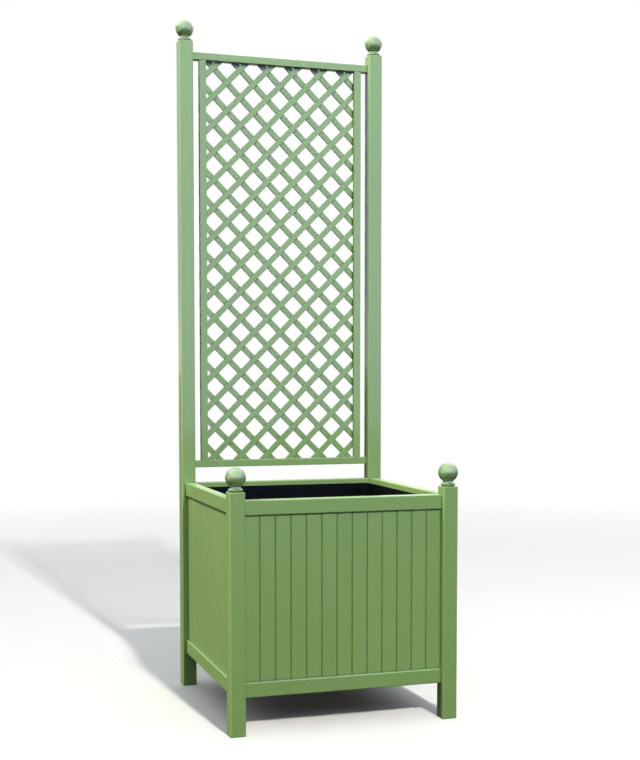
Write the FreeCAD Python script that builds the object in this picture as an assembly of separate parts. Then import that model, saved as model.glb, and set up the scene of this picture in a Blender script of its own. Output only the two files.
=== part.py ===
"""Square timber planter with a diamond trellis between its tall back posts.

Units are millimetres. +Z is up, the front faces -Y and the trellis stands at +Y.
The origin is on the floor, under the middle of the planter.
"""
import FreeCAD, Part
import math
import os

from FreeCAD import Vector

# ------------------------------------------------------------------ driving sizes
# Posts
outer_width = 750.0            # over the outer faces of the posts, square in plan
post_size = 50.0
post_round = 5.0               # long edges of the posts
post_ease = 2.0                # edges round the tops and the feet
front_post_height = 750.0
back_post_height = 2264.0

# Rails that join the posts, at the top and near the floor
rail_height = 47.0
rail_thickness = 32.0
rail_round = 3.5
rail_inset = 4.0               # inner face of a rail behind the inner face of a post
top_rail_drop = 25.0           # top of a front post down to the top rails
foot_height = 116.0            # floor up to the bottom rails

# Stub tenons on the rails, each held by a peg from the inside
tenon_thickness = 12.0
tenon_shoulder = 10.0          # rail left above and below a tenon
tenon_clearance = 2.0          # wood left between two tenons that meet in a post
peg_radius = 3.0
peg_bite = 5.0                 # how far a peg runs past its tenon
peg_recess = 0.5

# Tongued boards that fill each side
board_count = 13
board_thickness = 16.0
board_setback = 8.5            # face of the boards behind the face of the rails
board_housing = 8.0            # how deep the boards enter the rails
board_play = 0.5               # room over the boards for them to swell
vee_width = 5.0
vee_depth = 2.5
tongue_thickness = 5.0
tongue_length = 6.0

# Floor: two bearers on the side rails carry loose-laid slats
bearer_width = 25.0
bearer_height = 30.0
slat_count = 6
slat_thickness = 18.0
slat_gap = 8.0
slat_end_gap = 1.0
slat_margin = 20.0             # inner face of a post to the first slat

# Wood screws of the floor
screw_radius = 2.0
screw_head_radius = 4.0
bearer_screw_count = 4         # in each bearer
bearer_screw_length = 45.0
bearer_screw_rise = 9.0        # underside of a bearer to its screws
slat_screw_length = 30.0
slat_screw_inset = 22.0        # edge of a slat to its screws

# Turned ball finials and the studs that hold them
finial_foot_radius = 20.5
finial_foot_height = 3.0
finial_disc_radius = 23.4
finial_disc_height = 6.5
finial_disc_round = 2.0
finial_ledge = 3.0             # flat ring on top of the disc, round the cove
finial_cove_height = 7.0
finial_cove_sink = 1.0         # how far the cove bows in from a straight slope
finial_neck_radius = 15.9
finial_ball_radius = 31.75
stud_radius = 4.0
stud_in_post = 30.0
stud_in_finial = 25.0

# Lift-out liner
liner_wall = 3.0
liner_corner = 20.0
liner_rim_gap = 3.0            # rim of the liner to the inner faces of the posts
liner_rim_width = 4.0          # how far the rim stands out from the wall
liner_rim_height = 8.0
liner_rim_round = 1.5
liner_rim_drop = 16.5          # top rails down to the rim
liner_taper = 12.0             # how much the wall leans in on its way down
drain_radius = 10.0
drain_offset = 200.0

# Trellis frame
trellis_bar = 25.0             # face width of the frame's rails and stiles
trellis_round = 2.0
trellis_setback = 20.0         # face of the frame behind the front of the back posts
stile_depth = 16.0             # the laths lie behind the stiles
trellis_gap = 52.0             # top rail of the planter up to the frame
trellis_drop = 34.0            # top of the back posts down to the frame
stile_gap = 25.0               # clear gap between a post and a stile
lath_margin = 3.0              # ends of the laths short of the stiles' outer edges
dowel_radius = 4.0
dowel_length = 40.0
stile_dowel_radius = 3.0
stile_dowel_length = 30.0

# Diagonal laths
lath_width = 20.0
lath_thickness = 7.0
lath_gap = 49.0                # square across the gap between two laths
lath_round = 0.8
lath_shortest = 40.0
brad_radius = 0.8
brad_head_radius = 1.6
brad_head_height = 0.6
brad_bite = 5.0                # how far a brad enters the piece that holds it

# Fits
fit_gap = 0.2                  # joiner's clearance round tenons, tongues and dowels
screw_gap = 0.1                # clearance round screws and brads

# ------------------------------------------------------------------ derived sizes
half = outer_width / 2
post_inner = half - post_size                # inner faces of the posts
span = 2 * post_inner                        # clear length between two posts
post_centre = half - post_size / 2

rail_out = post_inner + rail_inset + rail_thickness    # outer face, from the middle
rail_in = post_inner + rail_inset
rail_middle = (rail_out + rail_in) / 2
top_rail_z = front_post_height - top_rail_drop - rail_height
top_rail_top = top_rail_z + rail_height
bottom_rail_top = foot_height + rail_height

tenon_near = rail_middle - tenon_thickness / 2
tenon_far = rail_middle + tenon_thickness / 2
tenon_length = tenon_near - post_inner - tenon_clearance
tenon_height = rail_height - 2 * tenon_shoulder
peg_offset = tenon_height / 4
peg_end = tenon_far + peg_bite

board_out = rail_out - board_setback
board_in = board_out - board_thickness
board_middle = (board_out + board_in) / 2
board_width = span / board_count
board_z = bottom_rail_top - board_housing
board_top = top_rail_z + board_housing - board_play

bearer_top = foot_height + bearer_height
bearer_middle = rail_in - bearer_width / 2
slat_top = bearer_top + slat_thickness
slat_field = 2 * (post_inner - slat_margin)
slat_width = (slat_field - (slat_count - 1) * slat_gap) / slat_count

finial_disc_top = finial_foot_height + finial_disc_height
finial_neck_z = finial_disc_top + finial_cove_height
finial_ball_z = finial_neck_z + math.sqrt(finial_ball_radius ** 2 - finial_neck_radius ** 2)

liner_rim = post_inner - liner_rim_gap
liner_top = top_rail_top - liner_rim_drop
liner_upper = liner_rim - liner_rim_width
liner_lower = liner_upper - liner_taper

trellis_front = post_inner + trellis_setback
lath_front = trellis_front + stile_depth
lath_meet = lath_front + lath_thickness
trellis_back = lath_meet + lath_thickness    # flush with the backs of the posts
rail_dowel_y = (trellis_front + trellis_back) / 2
stile_dowel_y = (trellis_front + lath_front) / 2
trellis_z = top_rail_top + trellis_gap
opening_z = trellis_z + trellis_bar
trellis_top = back_post_height - trellis_drop
opening_top = trellis_top - trellis_bar
opening_middle = (opening_z + opening_top) / 2
opening_rise = (opening_top - opening_z) / 2
stile_out = post_inner - stile_gap
stile_in = stile_out - trellis_bar
stile_middle = (stile_out + stile_in) / 2

lath_pitch = (lath_width + lath_gap) * math.sqrt(2)    # along X, and along Z
field_x = stile_out - lath_margin
field_z = opening_rise - fit_gap

ALONG_X = Vector(1, 0, 0)
ALONG_Y = Vector(0, 1, 0)
UP = Vector(0, 0, 1)
SIDES = ("front", "right", "back", "left")
CORNERS = ("front_left", "front_right", "back_right", "back_left")


# ------------------------------------------------------------------ general helpers
def block(x_pair, y_pair, z_pair):
    """Plain block between two values on each axis, given in either order."""
    low = Vector(min(x_pair), min(y_pair), min(z_pair))
    high = Vector(max(x_pair), max(y_pair), max(z_pair))
    size = high - low
    return Part.makeBox(size.x, size.y, size.z, low)


def runs_along(edge, axis):
    """True for a straight edge parallel to the axis."""
    way = edge.Vertexes[-1].Point - edge.Vertexes[0].Point
    return way.Length > 0 and way.cross(axis).Length < 1e-6 * way.Length


def bar(x_pair, y_pair, z_pair, axis, radius):
    """Block with its edges along the axis rounded, no further than its section allows."""
    plain = block(x_pair, y_pair, z_pair)
    bounds = plain.BoundBox
    sizes = (bounds.XLength, bounds.YLength, bounds.ZLength)
    section = [size for size, part in zip(sizes, axis) if part == 0]
    limit = 0.45 * min(section)
    edges = [edge for edge in plain.Edges if runs_along(edge, axis)]
    return plain.makeFillet(min(radius, limit), edges)


def turned(shape, quarters):
    """Copy of a shape turned about the planter's upright middle line."""
    copy = shape.copy()
    copy.rotate(Vector(0, 0, 0), UP, 90 * quarters)
    return copy


def cut_by(shape, tools):
    """Shape less the tools that reach it."""
    near = [tool for tool in tools if shape.BoundBox.intersect(tool.BoundBox)]
    if not near:
        return shape
    return shape.cut(near)


def only_solid(shape):
    """The largest solid of a boolean result."""
    return max(shape.Solids, key=lambda solid: solid.Volume)


def rod(start, way, length, radius):
    return Part.makeCylinder(radius, length, start, way)


def screw(start, way, length, radius, head_radius, gap=0.0):
    """Countersunk screw from its head's flat face, or the hole for it with a gap."""
    head_depth = head_radius - radius
    head = Part.makeCone(head_radius + gap, radius + gap, head_depth, start, way)
    shank = rod(start, way, length + gap, radius + gap)
    return head.fuse(shank).removeSplitter()


def brad(start, way, length, gap=0.0):
    """Small flat-headed nail, or the hole for it with a gap."""
    head = rod(start, way, brad_head_height + gap, brad_head_radius + gap)
    shank = rod(start, way, length + gap, brad_radius + gap)
    return head.fuse(shank).removeSplitter()


def rounded_square(side, radius, z):
    """Closed outline of four straights and four quarter arcs; side is half its width."""
    flat = side - radius
    knee = flat + radius * math.sqrt(0.5)
    edges = []
    for quarter in range(4):
        straight = Part.LineSegment(Vector(-flat, -side, z), Vector(flat, -side, z))
        corner = Part.Arc(Vector(flat, -side, z), Vector(knee, -knee, z), Vector(side, -flat, z))
        edges.append(turned(straight.toShape(), quarter))
        edges.append(turned(corner.toShape(), quarter))
    return Part.Wire(edges)


def swelled_arc(start, end, swell):
    """Arc between two points of a turned profile that bulges outwards by the swell."""
    chord = end - start
    side = Vector(chord.z, 0, -chord.x)
    side.normalize()
    return Part.Arc(start, (start + end) / 2 + side * swell, end).toShape()


# ------------------------------------------------------------------ planter frame
def tenon(end, rail_z, gap=0.0):
    """Tenon at one end (-1 left, 1 right) of a front rail, or its mortise with a gap."""
    x_pair = (end * post_inner, end * (post_inner + tenon_length + gap))
    y_pair = (-tenon_far - gap, -tenon_near + gap)
    low = rail_z + tenon_shoulder - gap
    return block(x_pair, y_pair, (low, low + tenon_height + 2 * gap))


def peg(end, rail_z, gap=0.0):
    """Peg through the tenon at one end of a front rail, or the hole for it with a gap.

    The left peg sits above the middle and the right one below it, so the two pegs
    that cross in a post miss each other.
    """
    x = end * (post_inner + tenon_length / 2)
    z = rail_z + rail_height / 2 - end * peg_offset
    start = -post_inner - (0 if gap else peg_recess)
    return rod(Vector(x, start, z), -ALONG_Y, peg_end + start + gap, peg_radius + gap)


def post(height):
    """Post of the front left corner, with its mortises, peg holes and stud hole."""
    sides = (-half, -post_inner)
    solid = bar(sides, sides, (0, height), UP, post_round)
    rims = [edge for edge in solid.Edges if edge.BoundBox.ZLength < 1e-6]
    solid = solid.makeFillet(post_ease, rims)
    tools = [rod(Vector(-post_centre, -post_centre, height), -UP,
                 stud_in_post + fit_gap, stud_radius + fit_gap)]
    for rail_z in (top_rail_z, foot_height):
        for end, quarters in ((-1, 0), (1, 3)):
            tools.append(turned(tenon(end, rail_z, fit_gap), quarters))
            tools.append(turned(peg(end, rail_z, fit_gap), quarters))
    return cut_by(solid, tools)


def rail(rail_z, housing_z):
    """Front rail at one height, with tenons and a housing for the boards."""
    body = bar((-post_inner, post_inner), (-rail_out, -rail_in),
               (rail_z, rail_z + rail_height), ALONG_X, rail_round)
    solid = body.fuse([tenon(-1, rail_z), tenon(1, rail_z)])
    housing = block((-post_inner, post_inner), (-board_out - fit_gap, -board_in + fit_gap),
                    (housing_z, housing_z + board_housing))
    return cut_by(solid, [housing, peg(-1, rail_z, fit_gap), peg(1, rail_z, fit_gap)])


def board(index):
    """One upright board of the front side, tongued into its right-hand neighbour."""
    left = -post_inner + index * board_width
    right = left + board_width
    first = index == 0
    last = index == board_count - 1
    lower = -board_middle - tongue_thickness / 2
    upper = -board_middle + tongue_thickness / 2
    points = []
    if first:
        points.append((left, -board_out))
    else:
        groove = left + tongue_length + fit_gap
        points.append((left, upper + fit_gap))
        points.append((groove, upper + fit_gap))
        points.append((groove, lower - fit_gap))
        points.append((left, lower - fit_gap))
        points.append((left, -board_out + vee_depth))
        points.append((left + vee_width / 2, -board_out))
    if last:
        points.append((right, -board_out))
    else:
        points.append((right - vee_width / 2, -board_out))
        points.append((right, -board_out + vee_depth))
        points.append((right, lower))
        points.append((right + tongue_length, lower))
        points.append((right + tongue_length, upper))
        points.append((right, upper))
    points.append((right, -board_in))
    points.append((left, -board_in))
    points.append(points[0])
    outline = Part.makePolygon([Vector(x, y, board_z) for x, y in points])
    return Part.Face(outline).extrude(UP * (board_top - board_z))


def finial():
    """Turned foot, disc, cove and ball, standing on the plane z = 0, with its stud hole."""
    foot = rod(Vector(0, 0, 0), UP, finial_foot_height, finial_foot_radius)
    disc = rod(Vector(0, 0, finial_foot_height), UP, finial_disc_height, finial_disc_radius)
    rims = [edge for edge in disc.Edges if edge.BoundBox.ZLength < 1e-6]
    disc = disc.makeFillet(finial_disc_round, rims)
    cove_low = Vector(finial_disc_radius - finial_ledge, 0, finial_disc_top)
    neck = Vector(finial_neck_radius, 0, finial_neck_z)
    belly = Vector(finial_ball_radius, 0, finial_ball_z)
    crown = Vector(0, 0, finial_ball_z + finial_ball_radius)
    middle = Vector(0, 0, finial_disc_top)
    outline = Part.Wire([
        Part.LineSegment(middle, cove_low).toShape(),
        swelled_arc(cove_low, neck, -finial_cove_sink),
        Part.Arc(neck, belly, crown).toShape(),
        Part.LineSegment(crown, middle).toShape(),
    ])
    ball = Part.Face(outline).revolve(Vector(0, 0, 0), UP, 360)
    hole = rod(Vector(0, 0, 0), UP, stud_in_finial + fit_gap, stud_radius + fit_gap)
    return only_solid(ball.fuse([foot, disc]).cut(hole).removeSplitter())


def stud(x, y, post_top):
    """Threaded stud, drawn at its outside size, that joins a finial to its post."""
    length = stud_in_post + stud_in_finial
    return rod(Vector(x, y, post_top - stud_in_post), UP, length, stud_radius)


# ------------------------------------------------------------------ floor and liner
def bearer_screws(gap=0.0):
    """Screws of the front bearer, driven outwards into its rail."""
    z = foot_height + bearer_screw_rise
    step = span / bearer_screw_count
    places = [-post_inner + (index + 0.5) * step for index in range(bearer_screw_count)]
    start = -(rail_in - bearer_width)
    return [screw(Vector(x, start, z), -ALONG_Y, bearer_screw_length,
                  screw_radius, screw_head_radius, gap) for x in places]


def bearer():
    """Floor bearer as it would lie on the front rail."""
    solid = block((-post_inner, post_inner), (-rail_in, -rail_in + bearer_width),
                  (foot_height, bearer_top))
    return cut_by(solid, bearer_screws(screw_gap))


def slat_start(index):
    """Front edge of a floor slat."""
    return -slat_field / 2 + index * (slat_width + slat_gap)


def slat_screws(index, gap=0.0):
    """Screws of one slat, down into both bearers."""
    start = slat_start(index)
    places = (start + slat_screw_inset, start + slat_width - slat_screw_inset)
    return [screw(Vector(side * bearer_middle, y, slat_top), -UP, slat_screw_length,
                  screw_radius, screw_head_radius, gap)
            for side in (-1, 1) for y in places]


def slat(index):
    reach = rail_in - slat_end_gap
    start = slat_start(index)
    solid = block((-reach, reach), (start, start + slat_width), (bearer_top, slat_top))
    return cut_by(solid, slat_screws(index, screw_gap))


def liner():
    """Tapered tub with rounded corners, an outward rim and drain holes."""
    inner_corner = liner_corner - liner_wall
    rim_corner = liner_corner + liner_rim_width
    shell = Part.makeLoft([rounded_square(liner_lower, liner_corner, slat_top),
                           rounded_square(liner_upper, liner_corner, liner_top)], True, True)
    hollow = Part.makeLoft([
        rounded_square(liner_lower - liner_wall, inner_corner, slat_top + liner_wall),
        rounded_square(liner_upper - liner_wall, inner_corner, liner_top)], True, True)
    rim_face = Part.Face(rounded_square(liner_rim, rim_corner, liner_top - liner_rim_height))
    rim = rim_face.extrude(UP * liner_rim_height)
    flat_edges = [edge for edge in rim.Edges if edge.BoundBox.ZLength < 1e-6]
    rim = rim.makeFillet(min(liner_rim_round, 0.45 * liner_rim_height), flat_edges)
    tub = shell.fuse(rim).cut(hollow)
    places = [(0, 0)]
    places += [(x * drain_offset, y * drain_offset) for x in (-1, 1) for y in (-1, 1)]
    drains = [rod(Vector(x, y, slat_top), UP, liner_wall, drain_radius) for x, y in places]
    return only_solid(tub.cut(drains).removeSplitter())


# ------------------------------------------------------------------ trellis
def trellis_dowels(gap=0.0):
    """Dowels that join the ends of the trellis rails to the back posts."""
    length = dowel_length + 2 * gap
    start = post_inner - length / 2
    heights = (trellis_z + trellis_bar / 2, trellis_top - trellis_bar / 2)
    return [rod(Vector(side * start, rail_dowel_y, z), ALONG_X * side, length,
                dowel_radius + gap) for side in (-1, 1) for z in heights]


def stile_dowels(gap=0.0):
    """Dowels that join the ends of the stiles to the trellis rails."""
    length = stile_dowel_length + 2 * gap
    return [rod(Vector(side * stile_middle, stile_dowel_y, z - length / 2), UP, length,
                stile_dowel_radius + gap)
            for side in (-1, 1) for z in (opening_z, opening_top)]


def trellis_rail(low, tools):
    solid = bar((-post_inner, post_inner), (trellis_front, trellis_back),
                (low, low + trellis_bar), ALONG_X, trellis_round)
    return cut_by(solid, tools)


def stile(side, tools):
    solid = bar((side * stile_in, side * stile_out), (trellis_front, lath_front),
                (opening_z, opening_top), UP, trellis_round)
    return cut_by(solid, tools)


def lath_lines():
    """Heights, over the middle of the opening, where the laths cross its middle line."""
    rows = int((field_x + field_z) / lath_pitch) + 2
    return [(row + 0.5) * lath_pitch for row in range(-rows, rows)]


def laths(lean, near):
    """One layer of laths; lean is 1 for laths that rise to the right, -1 to the left."""
    reach = 2 * (field_x + field_z)
    field = block((-field_x, field_x), (near, near + lath_thickness),
                  (opening_middle - field_z, opening_middle + field_z))
    layer = []
    for line in lath_lines():
        lath = bar((-reach / 2, reach / 2), (near, near + lath_thickness),
                   (-lath_width / 2, lath_width / 2), ALONG_X, lath_round)
        lath.rotate(Vector(0, 0, 0), ALONG_Y, -45 * lean)
        lath.translate(Vector(-lean * line / 2, 0, opening_middle + line / 2))
        piece = lath.common(field)
        if piece.Volume > lath_shortest * lath_width * lath_thickness:
            layer.append(only_solid(piece))
    return layer


def crossing_brads(gap=0.0):
    """Brads from the back that hold the two layers together where they cross."""
    length = lath_thickness + brad_bite
    start = trellis_back
    brads = []
    for rising in lath_lines():
        for falling in lath_lines():
            x = (falling - rising) / 2
            z = (falling + rising) / 2
            inside_x = abs(x) < stile_in - lath_width / 2
            inside_z = abs(z) < opening_rise - lath_width / 2
            if inside_x and inside_z:
                place = Vector(x, start, opening_middle + z)
                brads.append(brad(place, -ALONG_Y, length, gap))
    return brads


def frame_brads(gap=0.0):
    """Brads through the ends of the front laths into the backs of the stiles."""
    limit = opening_rise - lath_width
    brads = []
    for line in lath_lines():
        for x in (-stile_middle, stile_middle):
            if abs(x + line) < limit:
                place = Vector(x, lath_meet, opening_middle + x + line)
                brads.append(brad(place, -ALONG_Y, lath_thickness + brad_bite, gap))
    return brads


# ------------------------------------------------------------------ the nodes
def planter_nodes():
    nodes = {}
    heights = (front_post_height, front_post_height, back_post_height, back_post_height)
    dowel_holes = trellis_dowels(fit_gap)
    studs = []
    for quarter, (corner, height) in enumerate(zip(CORNERS, heights)):
        nodes[corner + "_post"] = only_solid(cut_by(turned(post(height), quarter), dowel_holes))
        middle = turned(Part.Vertex(-post_centre, -post_centre, height), quarter).Point
        ball = finial()
        ball.translate(middle)
        nodes[corner + "_finial"] = ball
        studs.append(stud(middle.x, middle.y, height))
    nodes["finial_studs"] = Part.makeCompound(studs)

    screw_holes = bearer_screws(screw_gap)
    top_rail = rail(top_rail_z, top_rail_z)
    plain_rail = rail(foot_height, bottom_rail_top - board_housing)
    bearer_rail = cut_by(plain_rail, screw_holes)
    boards = Part.makeCompound([board(index) for index in range(board_count)])
    pegs = []
    for quarter, side in enumerate(SIDES):
        carries_bearer = side in ("left", "right")
        bottom_rail = bearer_rail if carries_bearer else plain_rail
        nodes[side + "_top_rail"] = only_solid(turned(top_rail, quarter))
        nodes[side + "_bottom_rail"] = only_solid(turned(bottom_rail, quarter))
        nodes[side + "_boards"] = turned(boards, quarter)
        for rail_z in (top_rail_z, foot_height):
            for end in (-1, 1):
                pegs.append(turned(peg(end, rail_z), quarter))
    nodes["tenon_pegs"] = Part.makeCompound(pegs)
    return nodes


def floor_nodes():
    nodes = {}
    slat_holes = []
    slat_fixings = []
    for index in range(slat_count):
        nodes["floor_slat_" + str(index + 1)] = only_solid(slat(index))
        slat_holes += slat_screws(index, screw_gap)
        slat_fixings += slat_screws(index)
    bearer_fixings = []
    for side, quarter in (("right", 1), ("left", 3)):
        drilled = cut_by(turned(bearer(), quarter), slat_holes)
        nodes[side + "_floor_bearer"] = only_solid(drilled)
        bearer_fixings += [turned(fixing, quarter) for fixing in bearer_screws()]
    nodes["bearer_screws"] = Part.makeCompound(bearer_fixings)
    nodes["slat_screws"] = Part.makeCompound(slat_fixings)
    nodes["liner"] = liner()
    return nodes


def trellis_nodes():
    nodes = {}
    crossing_holes = crossing_brads(screw_gap)
    frame_holes = frame_brads(screw_gap)
    stile_holes = stile_dowels(fit_gap)
    frame_tools = stile_holes + trellis_dowels(fit_gap) + frame_holes
    nodes["trellis_bottom_rail"] = only_solid(trellis_rail(trellis_z, frame_tools))
    nodes["trellis_top_rail"] = only_solid(trellis_rail(opening_top, frame_tools))
    nodes["left_trellis_stile"] = only_solid(stile(-1, frame_tools))
    nodes["right_trellis_stile"] = only_solid(stile(1, frame_tools))
    front_layer = [cut_by(lath, crossing_holes + frame_holes) for lath in laths(1, lath_front)]
    back_layer = [cut_by(lath, crossing_holes) for lath in laths(-1, lath_meet)]
    nodes["front_laths"] = Part.makeCompound([only_solid(lath) for lath in front_layer])
    nodes["back_laths"] = Part.makeCompound([only_solid(lath) for lath in back_layer])
    nodes["trellis_dowels"] = Part.makeCompound(trellis_dowels())
    nodes["stile_dowels"] = Part.makeCompound(stile_dowels())
    nodes["crossing_brads"] = Part.makeCompound(crossing_brads())
    nodes["frame_brads"] = Part.makeCompound(frame_brads())
    return nodes


def all_nodes():
    nodes = planter_nodes()
    nodes.update(floor_nodes())
    nodes.update(trellis_nodes())
    return nodes


os.makedirs("parts", exist_ok=True)
for name, shape in all_nodes().items():
    shape.exportStep(os.path.join("parts", name + ".step"))
    print(name, len(shape.Solids), "solid(s)", "valid" if shape.isValid() else "NOT VALID")
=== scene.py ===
"""Looks of the square planter with a diamond trellis: paint, liner, timber and steel finishes.

Metres, +Z up, the front faces -Y. All places come from the frame or the values named below.
"""

import math

import bpy
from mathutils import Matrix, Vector


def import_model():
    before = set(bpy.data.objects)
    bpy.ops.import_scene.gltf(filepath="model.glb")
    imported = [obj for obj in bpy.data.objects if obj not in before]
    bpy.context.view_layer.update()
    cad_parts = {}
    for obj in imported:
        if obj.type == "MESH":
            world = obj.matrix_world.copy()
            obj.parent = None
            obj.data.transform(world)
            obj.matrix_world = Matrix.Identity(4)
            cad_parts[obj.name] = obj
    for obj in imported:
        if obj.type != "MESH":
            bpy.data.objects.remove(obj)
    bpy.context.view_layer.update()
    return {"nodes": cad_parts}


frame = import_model()

# ------------------------------------------------------------------ the photograph's view
IMAGE_HEIGHT = 760.0               # pixels
CAMERA_PLACE = (-1.2984, -4.1279, 1.1045)
CAMERA_TURN = 0.31187              # to the right of +Y, radians
CAMERA_DIP = 0.06048               # below the horizon, radians
FOCAL_PIXELS = 1285.2
CENTRE_ROW = 453.0                 # image row that the lens axis meets
SENSOR = 36.0                      # mm, along the image's height

# ------------------------------------------------------------------ colours, linear RGB
PAINT_PALE = (0.198, 0.326, 0.116)
PAINT_DEEP = (0.178, 0.298, 0.102)
# painted shade: the paint is darkened towards this colour in corners, grooves and crossings
PAINTED_CREASE_SHADE = (0.045, 0.085, 0.025)
PLASTIC = (0.002, 0.003, 0.004)
PLASTIC_DUSTY = (0.004, 0.006, 0.007)
TIMBER_PALE = (0.46, 0.30, 0.15)
TIMBER_DARK = (0.25, 0.14, 0.06)
STEEL = (0.56, 0.56, 0.54)
STEEL_DULL = (0.40, 0.40, 0.39)
WHITE = (1.0, 1.0, 1.0)
FLOOR_SEEN = (0.98, 0.98, 1.0)      # to the camera and in reflections
FLOOR_BOUNCE = (0.04, 0.04, 0.035)  # as a light on the object
SKY = (0.93, 0.97, 1.0)
CARD_LOW = (0.10, 0.12, 0.07)       # up to the back skyline
CARD_BAND = (0.80, 0.80, 0.78)      # just over it
CARD_HIGH = (0.33, 0.34, 0.58)      # above that band
CARD_RIGHT = (1.05, 1.05, 0.98)     # over the skyline, at the right

# ------------------------------------------------------------------ finishes
# Noise scales along and across the grain, per metre
PAINT_GRAIN = (5.0, 90.0)
TURNED_GRAIN = (5.0, 40.0)
TIMBER_GRAIN = (4.0, 60.0)
ALONG_X, ALONG_Y, ALONG_Z = range(3)
LATH_LEAN = math.pi / 4

NOISE_SPAN = (0.3, 0.7)            # most of a noise lies between these
DRIFT_SHARE = 0.6                  # of the paint's tone, from place to place
PIECE_SHARE = 0.4                  # of the paint's tone, from piece to piece
CREASE_SHADE_REACH = 0.007               # how far from a corner or groove the painted shade reaches
CREASE_SHADE_SPAN = (0.45, 0.95)         # ambient-occlusion openness from the darkest painted shade to none
CREASE_SHADE_SHARE = 0.75                # of the painted shade colour in the deepest crease
CREASE_SHADE_SAMPLES = 8

# ------------------------------------------------------------------ studio sizes
FLOOR_REACH = 60.0
FLOOR_FADE = (3.5, 7.0)            # between these the floor turns to plain white
SKY_STRENGTH = 0.24                # of the world as a light
CARD_REACH = 6.0                   # radius of the dark cards round the object
CARD_STEPS = 72
CARD_LIFT = 0.002                  # keeps the card on the ground clear of the floor
CARD_TOP = 4.5
SKYLINE = 0.6                      # where the low card ends in front and the sky panel starts
BACK_SKYLINE = 1.1                 # where the wall behind the object turns pale
SKYLINE_BLUR = 0.02
PALE_BAND = 0.5                    # height of that pale band
RIGHT_EDGE = (-0.2, 0.8)           # between these the wall turns bright towards the right

# ------------------------------------------------------------------ lamps
# Each has its name, place, target, size, radiance and colour.
BODY = (0.0, 0.0, 0.8)
GLOSS_LAMPS = (                    # only reflections see them
    ("sky_gloss", (0.0, -6.5, 3.5), (0.0, 0.0, 3.5), (24.0, 5.8), 1.95, (0.33, 0.46, 1.0)),
    ("high_gloss", (0.0, -2.0, 7.5), (0.0, -2.0, 0.0), (36.0, 30.0), 1.3, (0.76, 0.88, 1.0)),
    ("left_glint", (-5.0, 0.0, 1.0), BODY, (1.0, 0.8), 6.0, (1.0, 0.98, 0.90)),
)
FRONT_LAMPS = (
    ("sky_fill", (0.0, -6.5, 5.2), (0.0, 0.0, 4.2), (12.0, 4.0), 0.55, (0.72, 0.86, 1.0)),
    ("key", (0.65, -11.5, 8.8), BODY, (0.6, 0.6), 1560.0, (1.0, 0.96, 0.86)),
)
SIDE_LAMPS = (                     # they don't light the floor
    ("left_panel", (-6.2, 0.4, 8.6), BODY, (3.2, 2.4), 97.0, (1.0, 0.92, 0.74)),
    ("right_panel", (4.8, 2.6, 3.6), BODY, (3.0, 3.0), 6.0, (1.0, 0.98, 0.94)),
    ("back_panel", (1.0, 5.6, 4.2), BODY, (5.0, 3.0), 4.0, (1.0, 0.98, 0.94)),
)
FLOOR_LAMP = ("floor_wash", (0.0, 0.0, 14.0), (0.0, 0.0, 0.0), (60.0, 60.0), 0.42, WHITE)

# ------------------------------------------------------------------ the CAD's nodes
CORNERS = ("front_left", "front_right", "back_right", "back_left")
SIDES = ("front", "right", "back", "left")
STILES = ("left_trellis_stile", "right_trellis_stile")

nodes = frame["nodes"]


# ------------------------------------------------------------------ node helpers
class NodeTree:
    """A node tree with short calls for the nodes used here."""

    MIX_FACTOR, MIX_FIRST, MIX_SECOND, MIX_RESULT = 0, 6, 7, 2    # colour sockets of Mix

    def __init__(self, tree):
        self.tree = tree

    def feed(self, socket, value):
        """Links another node's output to a socket, or sets the socket's own value."""
        if isinstance(value, bpy.types.NodeSocket):
            self.tree.links.new(value, socket)
        elif socket.type == "RGBA":
            socket.default_value = (*value, 1.0)
        else:
            socket.default_value = value

    def add(self, kind, inputs=None, **settings):
        """Node with its settings made and the given inputs fed."""
        node = self.tree.nodes.new(kind)
        for key, value in settings.items():
            setattr(node, key, value)
        for key, value in (inputs or {}).items():
            self.feed(node.inputs[key], value)
        return node

    def place(self):
        """Object coordinates, which are the frame's own."""
        return self.add("ShaderNodeTexCoord").outputs["Object"]

    def grain_space(self, axis, grain, lean=0.0):
        """Coordinates leant about Y and stretched, so that noise runs along the grain."""
        along, across = grain
        stretch = [along if each == axis else across for each in range(3)]
        leant = self.add("ShaderNodeMapping",
                         {"Vector": self.place(), "Rotation": (0.0, lean, 0.0)})
        scaled = self.add("ShaderNodeMapping",
                          {"Vector": leant.outputs["Vector"], "Scale": stretch})
        return scaled.outputs["Vector"]

    def noise(self, space, scale, detail, roughness=0.5):
        inputs = {"Vector": space, "Scale": scale, "Detail": detail, "Roughness": roughness}
        return self.add("ShaderNodeTexNoise", inputs).outputs["Fac"]

    def remap(self, value, span, result=(0.0, 1.0)):
        """Value with one span stretched to another, and held at its ends."""
        inputs = {"Value": value, "From Min": span[0], "From Max": span[1],
                  "To Min": result[0], "To Max": result[1]}
        return self.add("ShaderNodeMapRange", inputs).outputs["Result"]

    def blend(self, factor, first, second):
        """Colour that goes from the first to the second as the factor goes from 0 to 1."""
        inputs = {self.MIX_FACTOR: factor, self.MIX_FIRST: first, self.MIX_SECOND: second}
        return self.add("ShaderNodeMix", inputs, data_type="RGBA").outputs[self.MIX_RESULT]

    def calculate(self, first, operation, second):
        inputs = {0: first, 1: second}
        return self.add("ShaderNodeMath", inputs, operation=operation).outputs["Value"]

    def room_ray(self):
        """1 for the rays that see the white room: the camera's, reflected and refracted."""
        path = self.add("ShaderNodeLightPath").outputs
        seen = self.calculate(path["Is Camera Ray"], "MAXIMUM", path["Is Glossy Ray"])
        return self.calculate(seen, "MAXIMUM", path["Is Transmission Ray"])

    def glow(self, colour):
        return self.add("ShaderNodeEmission", {"Color": colour, "Strength": 1.0}).outputs[0]

    def either(self, factor, first, second):
        """Shader that goes from the first to the second as the factor goes from 0 to 1."""
        return self.add("ShaderNodeMixShader", {0: factor, 1: first, 2: second}).outputs[0]


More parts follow.
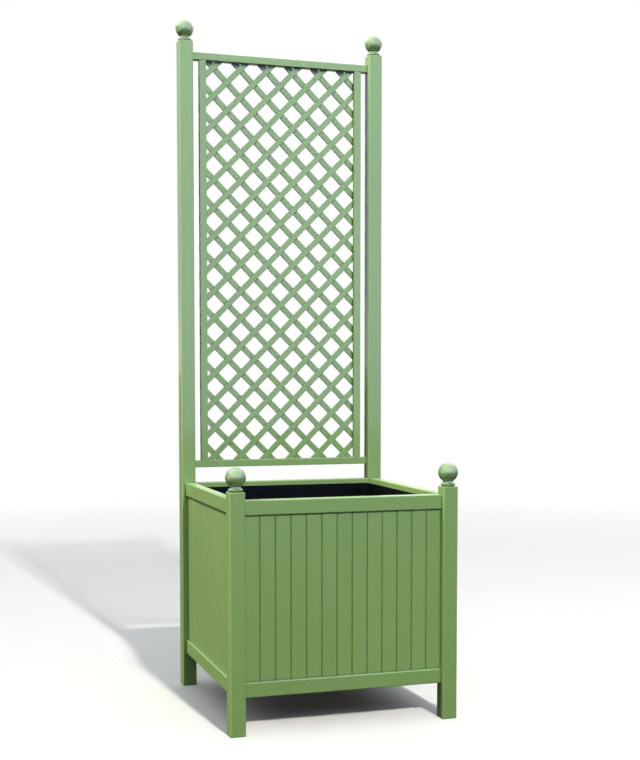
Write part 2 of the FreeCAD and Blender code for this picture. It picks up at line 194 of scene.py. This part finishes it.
class Material(NodeTree):
    """A material, with its surface shader and its output."""

    def __init__(self, name):
        self.data = bpy.data.materials.new(name)
        self.data.use_nodes = True
        super().__init__(self.data.node_tree)
        self.surface = self.tree.nodes["Principled BSDF"]

    def bump(self, height, distance, strength, below=None):
        inputs = {"Height": height, "Distance": distance, "Strength": strength}
        if below is not None:
            inputs["Normal"] = below
        return self.add("ShaderNodeBump", inputs).outputs["Normal"]

    def connect(self, **sockets):
        """Feeds sockets of the surface; underscores stand for spaces."""
        for key, value in sockets.items():
            self.feed(self.surface.inputs[key.replace("_", " ")], value)

    def show(self, shader):
        """Shows this shader in place of the surface."""
        self.feed(self.tree.nodes["Material Output"].inputs["Surface"], shader)


# ------------------------------------------------------------------ materials
def paint(name, axis, grain=PAINT_GRAIN, lean=0.0, coat=0.5, coat_ior=1.5, painted_shade_factor=1.0,
          relief=0.07):
    """Sprayed satin-gloss paint on planed timber, with the grain just telegraphing through and
    painted shade in its corners and grooves.
    """
    look = Material(name)
    space = look.grain_space(axis, grain, lean)
    fibres = look.noise(space, scale=1.0, detail=4.0, roughness=0.55)
    place = look.place()
    drift = look.noise(place, scale=2.2, detail=2.0)
    peel = look.noise(place, scale=900.0, detail=1.0)
    piece = look.add("ShaderNodeNewGeometry").outputs["Random Per Island"]
    tone = look.calculate(look.remap(drift, NOISE_SPAN, (0.0, DRIFT_SHARE)), "ADD",
                          look.remap(piece, (0.0, 1.0), (0.0, PIECE_SHARE)))
    # painted_shade_factor below 1 gives a darker, shaded copy of the paint: painted shade.
    deep, pale = ([painted_shade_factor * channel for channel in tint] for tint in (PAINT_DEEP, PAINT_PALE))
    open_paint = look.blend(tone, deep, pale)
    # Painted shade: ambient occlusion darkens the paint in corners, grooves and lath crossings.
    openness = look.add("ShaderNodeAmbientOcclusion", {"Distance": CREASE_SHADE_REACH},
                        samples=CREASE_SHADE_SAMPLES).outputs["AO"]
    crease_shade_mask = look.remap(openness, CREASE_SHADE_SPAN, (CREASE_SHADE_SHARE, 0.0))
    film = look.bump(fibres, distance=0.0004, strength=relief)
    film = look.bump(peel, distance=0.00003, strength=0.3, below=film)
    look.connect(Base_Color=look.blend(crease_shade_mask, open_paint, PAINTED_CREASE_SHADE),
                 Roughness=look.remap(fibres, NOISE_SPAN, (0.28, 0.34)), Normal=film,
                 IOR=1.5, Coat_Weight=coat, Coat_IOR=coat_ior, Coat_Roughness=0.07)
    return look.data


def plastic():
    """Black moulded plastic with a fine matt texture and a little dust."""
    look = Material("black_plastic")
    place = look.place()
    dust = look.noise(place, scale=6.0, detail=5.0, roughness=0.6)
    texture = look.noise(place, scale=1400.0, detail=2.0)
    look.connect(Base_Color=look.blend(look.remap(dust, (0.4, 0.75)), PLASTIC, PLASTIC_DUSTY),
                 Roughness=look.remap(dust, NOISE_SPAN, (0.42, 0.58)),
                 Specular_IOR_Level=0.04,
                 Normal=look.bump(texture, distance=0.00006, strength=0.5))
    return look.data


def timber(name, axis):
    """Planed softwood, unpainted, with early and late wood in bands along the grain."""
    look = Material(name)
    space = look.grain_space(axis, TIMBER_GRAIN)
    wander = look.noise(space, scale=0.35, detail=3.0)
    rings = look.add("ShaderNodeTexWave", {
        "Vector": space, "Scale": 0.7, "Distortion": 5.0, "Detail": 3.0, "Detail Scale": 1.2,
    }, bands_direction="DIAGONAL").outputs["Fac"]
    fibres = look.noise(space, scale=5.0, detail=4.0)
    bands = look.calculate(rings, "MULTIPLY", wander)
    colour = look.blend(look.remap(bands, (0.0, 0.6)), TIMBER_PALE, TIMBER_DARK)
    colour = look.blend(look.remap(fibres, NOISE_SPAN, (0.0, 0.25)), colour, TIMBER_DARK)
    look.connect(Base_Color=colour, Roughness=look.remap(fibres, NOISE_SPAN, (0.6, 0.8)),
                 Normal=look.bump(fibres, distance=0.0003, strength=0.5))
    return look.data


def steel():
    """Zinc plate with a fine spangle."""
    look = Material("zinc_steel")
    spangle = look.noise(look.place(), scale=300.0, detail=2.0)
    look.connect(Base_Color=look.blend(spangle, STEEL_DULL, STEEL), Metallic=1.0,
                 Roughness=look.remap(spangle, NOISE_SPAN, (0.3, 0.5)),
                 Normal=look.bump(spangle, distance=0.00004, strength=0.4))
    return look.data


def finish(names, material):
    """Gives CAD nodes their material."""
    for name in names:
        mesh = nodes[name].data
        mesh.materials.clear()
        mesh.materials.append(material)


def dress_nodes():
    upright = paint("paint_upright", ALONG_Z)
    across = paint("paint_across", ALONG_X)
    deep = paint("paint_front_to_back", ALONG_Y)
    rising = paint("paint_rising", ALONG_X, lean=LATH_LEAN)
    falling = paint("paint_falling", ALONG_X, lean=-LATH_LEAN)
    # The finials take a darker copy of the paint (painted shade) for the shade on the balls'
    # lower halves.
    turned = paint("paint_turned", ALONG_Z, TURNED_GRAIN, coat=1.0, coat_ior=1.7, painted_shade_factor=0.72,
                   relief=0.012)
    finish([corner + "_post" for corner in CORNERS], upright)
    finish([corner + "_finial" for corner in CORNERS], turned)
    finish([side + "_boards" for side in SIDES], upright)
    finish(STILES, upright)
    for level in ("top", "bottom"):
        finish([side + "_" + level + "_rail" for side in ("front", "back")], across)
        finish([side + "_" + level + "_rail" for side in ("left", "right")], deep)
    finish(["trellis_bottom_rail", "trellis_top_rail"], across)
    finish(["front_laths"], rising)
    finish(["back_laths"], falling)
    finish(["crossing_brads", "frame_brads"], upright)
    finish(["liner"], plastic())
    slats = [name for name in nodes if name.startswith("floor_slat_")]
    finish(slats + ["trellis_dowels"], timber("timber_across", ALONG_X))
    finish(["left_floor_bearer", "right_floor_bearer"],
           timber("timber_front_to_back", ALONG_Y))
    finish(["tenon_pegs", "stile_dowels"], timber("timber_upright", ALONG_Z))
    finish(["finial_studs", "bearer_screws", "slat_screws"], steel())


# ------------------------------------------------------------------ studio
def stage_piece(name, points, faces, material):
    """Mesh object of the studio, which isn't part of the planter."""
    mesh = bpy.data.meshes.new(name)
    mesh.from_pydata(points, [], faces)
    mesh.materials.append(material)
    piece = bpy.data.objects.new(name, mesh)
    bpy.context.scene.collection.objects.link(piece)
    return piece


def limit(source, lit, state):
    """Keeps a light off the listed objects (EXCLUDE), or on them alone (INCLUDE)."""
    receivers = bpy.data.collections.new(source.name + "_receivers")
    for index, thing in enumerate(lit):
        receivers.objects.link(thing)
        receivers.collection_objects[index].light_linking.link_state = state
    source.light_linking.receiver_collection = receivers


def floor():
    """Pale floor that keeps the object's shadow and can't be seen from below."""
    look = Material("studio_floor")
    seen = look.room_ray()
    colour = look.blend(seen, FLOOR_BOUNCE, FLOOR_SEEN)
    matt = look.add("ShaderNodeBsdfDiffuse", {"Color": colour}).outputs[0]
    distance = look.add("ShaderNodeVectorMath", {0: look.place()}, operation="LENGTH")
    away = look.remap(distance.outputs["Value"], FLOOR_FADE)
    away = look.calculate(away, "MULTIPLY", seen)
    top = look.either(away, matt, look.glow(WHITE))
    clear = look.add("ShaderNodeBsdfTransparent").outputs[0]
    below = look.add("ShaderNodeNewGeometry").outputs["Backfacing"]
    look.show(look.either(below, top, clear))
    reach = FLOOR_REACH
    corners = [(-reach, -reach, 0), (reach, -reach, 0), (reach, reach, 0), (-reach, reach, 0)]
    return stage_piece("studio_floor", corners, [(0, 1, 2, 3)], look.data)


def card(name, points, faces):
    """Studio card that only reflections see: it keeps the pale room off the paint's gloss."""
    look = Material(name)
    apart = look.add("ShaderNodeSeparateXYZ", {"Vector": look.place()}).outputs
    over = look.remap(apart["Z"], (BACK_SKYLINE, BACK_SKYLINE + SKYLINE_BLUR))
    band_ends = (BACK_SKYLINE + PALE_BAND / 2, BACK_SKYLINE + 1.5 * PALE_BAND)
    wall = look.blend(look.remap(apart["Z"], band_ends), CARD_BAND, CARD_HIGH)
    wall = look.blend(look.remap(apart["X"], RIGHT_EDGE), wall, CARD_RIGHT)
    look.show(look.glow(look.blend(over, CARD_LOW, wall)))
    flag = stage_piece(name, points, faces, look.data)
    flag.visible_camera = False
    flag.visible_diffuse = False
    flag.visible_transmission = False
    flag.visible_volume_scatter = False
    flag.visible_shadow = False
    return flag


def cards():
    """A disc on the ground and a wall, low in front and tall round the back.

    The trellis's stiles and laths don't reflect the wall, so their shaded sides stay dark.
    """
    turns = [2 * math.pi * step / CARD_STEPS for step in range(CARD_STEPS + 1)]
    ring = [(CARD_REACH * math.cos(turn), CARD_REACH * math.sin(turn)) for turn in turns]
    card("card_ground", [(x, y, CARD_LIFT) for x, y in ring[:-1]], [tuple(range(CARD_STEPS))])
    points = []
    faces = []
    for step in range(CARD_STEPS):
        behind = step < CARD_STEPS // 2
        top = CARD_TOP if behind else SKYLINE
        first = len(points)
        for x, y in (ring[step], ring[step + 1]):
            points += [(x, y, 0.0), (x, y, top)]
        faces.append((first, first + 2, first + 3, first + 1))
    wall = card("card_wall", points, faces)
    limit(wall, [nodes[name] for name in STILES + ("front_laths", "back_laths")], "EXCLUDE")


def world():
    """White to the eye and in reflections, and a dimmer sky as a light."""
    sky = bpy.data.worlds.new("studio_world")
    bpy.context.scene.world = sky
    sky.use_nodes = True
    sky.node_tree.nodes.clear()
    look = NodeTree(sky.node_tree)
    light = look.add("ShaderNodeBackground", {"Color": SKY, "Strength": SKY_STRENGTH})
    seen = look.add("ShaderNodeBackground", {"Color": WHITE, "Strength": 1.0})
    choice = look.either(look.room_ray(), light.outputs[0], seen.outputs[0])
    look.add("ShaderNodeOutputWorld", {"Surface": choice})


def softbox(name, place, target, size, radiance, colour, gloss_only=False):
    """Area lamp turned towards its target, with the radiance of its face.

    It shows either in the gloss only or everywhere but there.
    """
    lamp = bpy.data.lights.new(name, "AREA")
    lamp.shape = "RECTANGLE"
    lamp.size, lamp.size_y = size
    lamp.energy = radiance * math.pi * lamp.size * lamp.size_y
    lamp.color = colour
    box = bpy.data.objects.new(name, lamp)
    box.location = place
    way = Vector(target) - Vector(place)
    box.rotation_euler = way.to_track_quat("-Z", "Y").to_euler()
    box.visible_camera = False
    box.visible_glossy = gloss_only
    box.visible_diffuse = not gloss_only
    bpy.context.scene.collection.objects.link(box)
    return box


def lights(ground):
    """A key from the front right, panels at the sides and back, and a cool sky in the gloss."""
    for lamp in GLOSS_LAMPS:
        softbox(*lamp, gloss_only=True)
    for lamp in FRONT_LAMPS:
        softbox(*lamp)
    for lamp in SIDE_LAMPS:
        limit(softbox(*lamp), [ground], "EXCLUDE")
    limit(softbox(*FLOOR_LAMP), [ground], "INCLUDE")


def camera():
    data = bpy.data.cameras.new("photo_camera")
    data.sensor_width = SENSOR
    data.lens = FOCAL_PIXELS * SENSOR / IMAGE_HEIGHT
    data.shift_y = (CENTRE_ROW - IMAGE_HEIGHT / 2) / IMAGE_HEIGHT
    eye = bpy.data.objects.new("photo_camera", data)
    eye.location = CAMERA_PLACE
    eye.rotation_euler = (math.pi / 2 - CAMERA_DIP, 0.0, -CAMERA_TURN)
    bpy.context.scene.collection.objects.link(eye)
    bpy.context.scene.camera = eye


dress_nodes()
ground = floor()
cards()
world()
lights(ground)
camera()
bpy.context.scene.view_settings.view_transform = "Standard"
